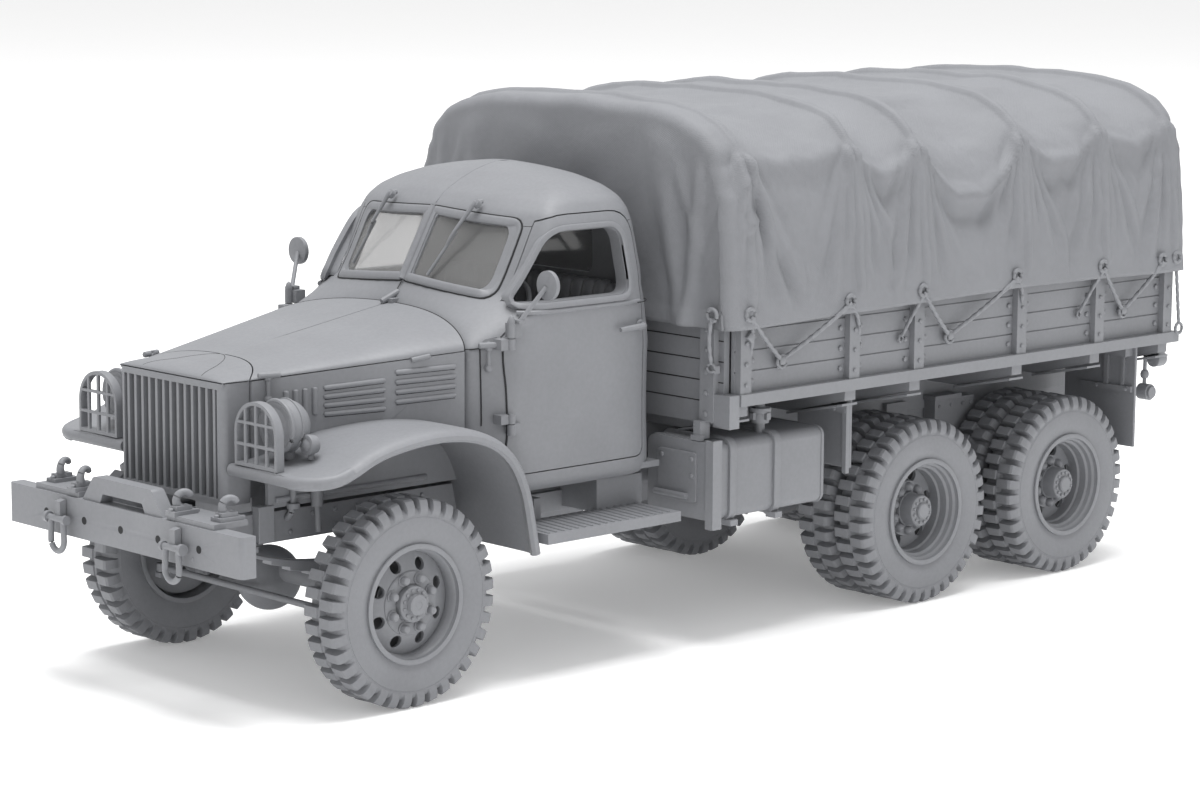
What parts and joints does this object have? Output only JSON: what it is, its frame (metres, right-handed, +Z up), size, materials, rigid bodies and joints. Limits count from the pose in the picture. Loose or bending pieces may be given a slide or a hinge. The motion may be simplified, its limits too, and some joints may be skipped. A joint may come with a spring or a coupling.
{
  "type": "scale model military cargo truck",
  "caption": "1:35 display model of a six-wheel-drive military cargo truck with closed cab, timber load bed and canvas tilt; wheels roll, steering, doors, hood and tailgate move.",
  "frame": {"origin": "middle of the bounding box at the height of the ground under the tyres", "axes": "+Z up, truck faces -Y, its left side is +X"},
  "size_m": [0.0644, 0.1776, 0.073],
  "materials": {
    "grey_plastic": "satin grey moulded plastic",
    "tyre_plastic": "matt grey moulded plastic, tread in relief",
    "cloth_textured_plastic": "matt grey plastic moulded with cloth folds",
    "clear_plastic": "clear glossy plastic"
  },
  "bodies": {
    "chassis": {"bed_floor": "grey_plastic", "bed_front": "grey_plastic", "bed_side_left": "grey_plastic", "bed_side_right": "grey_plastic", "bed_sills": "grey_plastic", "bench_seat": "cloth_textured_plastic", "bows": "grey_plastic", "cab_glass": "clear_plastic", "cab_roof": "grey_plastic", "cab_shell": "grey_plastic", "canvas_tilt": "cloth_textured_plastic", "dashboard": "grey_plastic", "drive_line": "grey_plastic", "engine_block": "grey_plastic", "fender_left": "grey_plastic", "fender_right": "grey_plastic", "frame_rails": "grey_plastic", "front_axle": "grey_plastic", "front_bumper": "grey_plastic", "front_springs": "grey_plastic", "fuel_tank": "grey_plastic", "grille_shell": "grey_plastic", "head_lamps": "grey_plastic", "hood_nose": "grey_plastic", "hood_sides": "grey_plastic", "lamp_guards": "grey_plastic", "mud_flaps": "grey_plastic", "rear_axle_1": "grey_plastic", "rear_axle_2": "grey_plastic", "rear_hitch": "grey_plastic", "rear_springs": "grey_plastic", "running_boards": "grey_plastic", "seat_base": "grey_plastic", "steering_wheel": "grey_plastic", "tail_lamps": "grey_plastic", "tool_box": "grey_plastic", "tow_fittings": "grey_plastic"},
    "knuckle_left": {"knuckle_left": "grey_plastic"},
    "knuckle_right": {"knuckle_right": "grey_plastic"},
    "tie_rod": {"tie_rod": "grey_plastic"},
    "wheel_front_left": {"tyre_front_left": "tyre_plastic", "rim_front_left": "grey_plastic"},
    "wheel_front_right": {"tyre_front_right": "tyre_plastic", "rim_front_right": "grey_plastic"},
    "door_left": {"door_left": "grey_plastic", "mirror_left": "grey_plastic"},
    "door_right": {"door_right": "grey_plastic", "mirror_right": "grey_plastic"},
    "hood_left": {"hood_left": "grey_plastic"},
    "hood_right": {"hood_right": "grey_plastic"},
    "tailgate": {"tailgate": "grey_plastic"},
    "wheel_rear_1_left": {"tyres_rear_1_left": "tyre_plastic", "rims_rear_1_left": "grey_plastic"},
    "wheel_rear_1_right": {"tyres_rear_1_right": "tyre_plastic", "rims_rear_1_right": "grey_plastic"},
    "wheel_rear_2_left": {"tyres_rear_2_left": "tyre_plastic", "rims_rear_2_left": "grey_plastic"},
    "wheel_rear_2_right": {"tyres_rear_2_right": "tyre_plastic", "rims_rear_2_right": "grey_plastic"}
  },
  "joints": [
    {"name": "steer_left", "type": "hinge", "parent": "chassis", "child": "knuckle_left", "pos_m": [0.0183, -0.0618, 0.0133], "axis": [0, 0, 1], "range_deg": [-28, 28]},
    {"name": "front_wheel_left_spin", "type": "hinge", "parent": "knuckle_left", "child": "wheel_front_left", "pos_m": [0.02385, -0.0618, 0.0133], "axis": [1, 0, 0], "continuous": true},
    {"name": "rear_wheel_1_left_spin", "type": "hinge", "parent": "chassis", "child": "wheel_rear_1_left", "pos_m": [0.0225, 0.0317, 0.0133], "axis": [1, 0, 0], "continuous": true},
    {"name": "rear_wheel_2_left_spin", "type": "hinge", "parent": "chassis", "child": "wheel_rear_2_left", "pos_m": [0.0225, 0.0637, 0.0133], "axis": [1, 0, 0], "continuous": true},
    {"name": "door_left_swing", "type": "hinge", "parent": "chassis", "child": "door_left", "pos_m": [0.023, -0.0425, 0.04], "axis": [0, 0, -1], "range_deg": [0, 70]},
    {"name": "hood_left_lift", "type": "hinge", "parent": "chassis", "child": "hood_left", "pos_m": [0, -0.0615, 0.04415], "axis": [0, -0.9868, -0.1621], "range_deg": [0, 60]},
    {"name": "steer_right", "type": "hinge", "parent": "chassis", "child": "knuckle_right", "pos_m": [-0.0183, -0.0618, 0.0133], "axis": [0, 0, 1], "range_deg": [-28, 28]},
    {"name": "front_wheel_right_spin", "type": "hinge", "parent": "knuckle_right", "child": "wheel_front_right", "pos_m": [-0.02385, -0.0618, 0.0133], "axis": [1, 0, 0], "continuous": true},
    {"name": "rear_wheel_1_right_spin", "type": "hinge", "parent": "chassis", "child": "wheel_rear_1_right", "pos_m": [-0.0225, 0.0317, 0.0133], "axis": [1, 0, 0], "continuous": true},
    {"name": "rear_wheel_2_right_spin", "type": "hinge", "parent": "chassis", "child": "wheel_rear_2_right", "pos_m": [-0.0225, 0.0637, 0.0133], "axis": [1, 0, 0], "continuous": true},
    {"name": "door_right_swing", "type": "hinge", "parent": "chassis", "child": "door_right", "pos_m": [-0.023, -0.0425, 0.04], "axis": [0, 0, 1], "range_deg": [0, 70]},
    {"name": "hood_right_lift", "type": "hinge", "parent": "chassis", "child": "hood_right", "pos_m": [0, -0.0615, 0.04415], "axis": [0, 0.9868, 0.1621], "range_deg": [0, 60]},
    {"name": "tie_rod_slide", "type": "slide", "parent": "chassis", "child": "tie_rod", "axis": [1, 0, 0], "range_m": [-0.0028, 0.0028]},
    {"name": "tailgate_drop", "type": "hinge", "parent": "chassis", "child": "tailgate", "pos_m": [0, 0.0864, 0.0335], "axis": [-1, 0, 0], "range_deg": [0, 90]}
  ],
  "couplings": [
    {"joint": "steer_right", "follows": "steer_left", "ratio": 1},
    {"joint": "tie_rod_slide", "follows": "steer_left", "m_per_rad": 0.0056}
  ]
}
